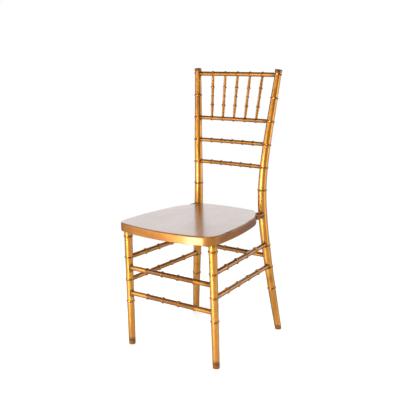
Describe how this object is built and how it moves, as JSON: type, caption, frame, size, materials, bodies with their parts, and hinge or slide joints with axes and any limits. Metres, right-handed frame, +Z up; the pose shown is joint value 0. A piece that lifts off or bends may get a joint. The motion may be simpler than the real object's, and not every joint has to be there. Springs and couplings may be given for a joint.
{
  "type": "chiavari banquet chair",
  "caption": "Slim stackable banquet chair with bamboo-ringed legs, bowed back rails with turned spindles, ringed stretchers and a skirted moulded seat, all in metallic gold.",
  "frame": {"origin": "on the floor, under the middle of the chair's overall width and depth", "axes": "+Z up, the front of the chair faces -Y, +X towards the viewer's right when looking at the front"},
  "size_m": [0.3868, 0.4794, 0.9202],
  "materials": {
    "gold_resin": "metallic gold pigment with a glossy surface",
    "glide": "satin gold-brown nylon",
    "steel": "zinc plated"
  },
  "bodies": {
    "root": {"left_back_post": "gold_resin", "right_back_post": "gold_resin", "left_front_leg": "gold_resin", "right_front_leg": "gold_resin", "top_rail": "gold_resin", "spindle_rail": "gold_resin", "upper_back_rail": "gold_resin", "lower_back_rail": "gold_resin", "spindle_1": "gold_resin", "spindle_2": "gold_resin", "spindle_3": "gold_resin", "spindle_4": "gold_resin", "spindle_5": "gold_resin", "seat_shell": "gold_resin", "front_stretcher_upper": "gold_resin", "front_stretcher_lower": "gold_resin", "back_stretcher": "gold_resin", "left_side_stretcher_upper": "gold_resin", "left_side_stretcher_lower": "gold_resin", "right_side_stretcher_upper": "gold_resin", "right_side_stretcher_lower": "gold_resin", "left_front_glide": "glide", "right_front_glide": "glide", "left_back_glide": "glide", "right_back_glide": "glide", "left_seat_bolt": "steel", "right_seat_bolt": "steel", "left_barrel_nut": "steel", "right_barrel_nut": "steel", "left_leg_screw": "steel", "right_leg_screw": "steel"}
  },
  "joints": []
}
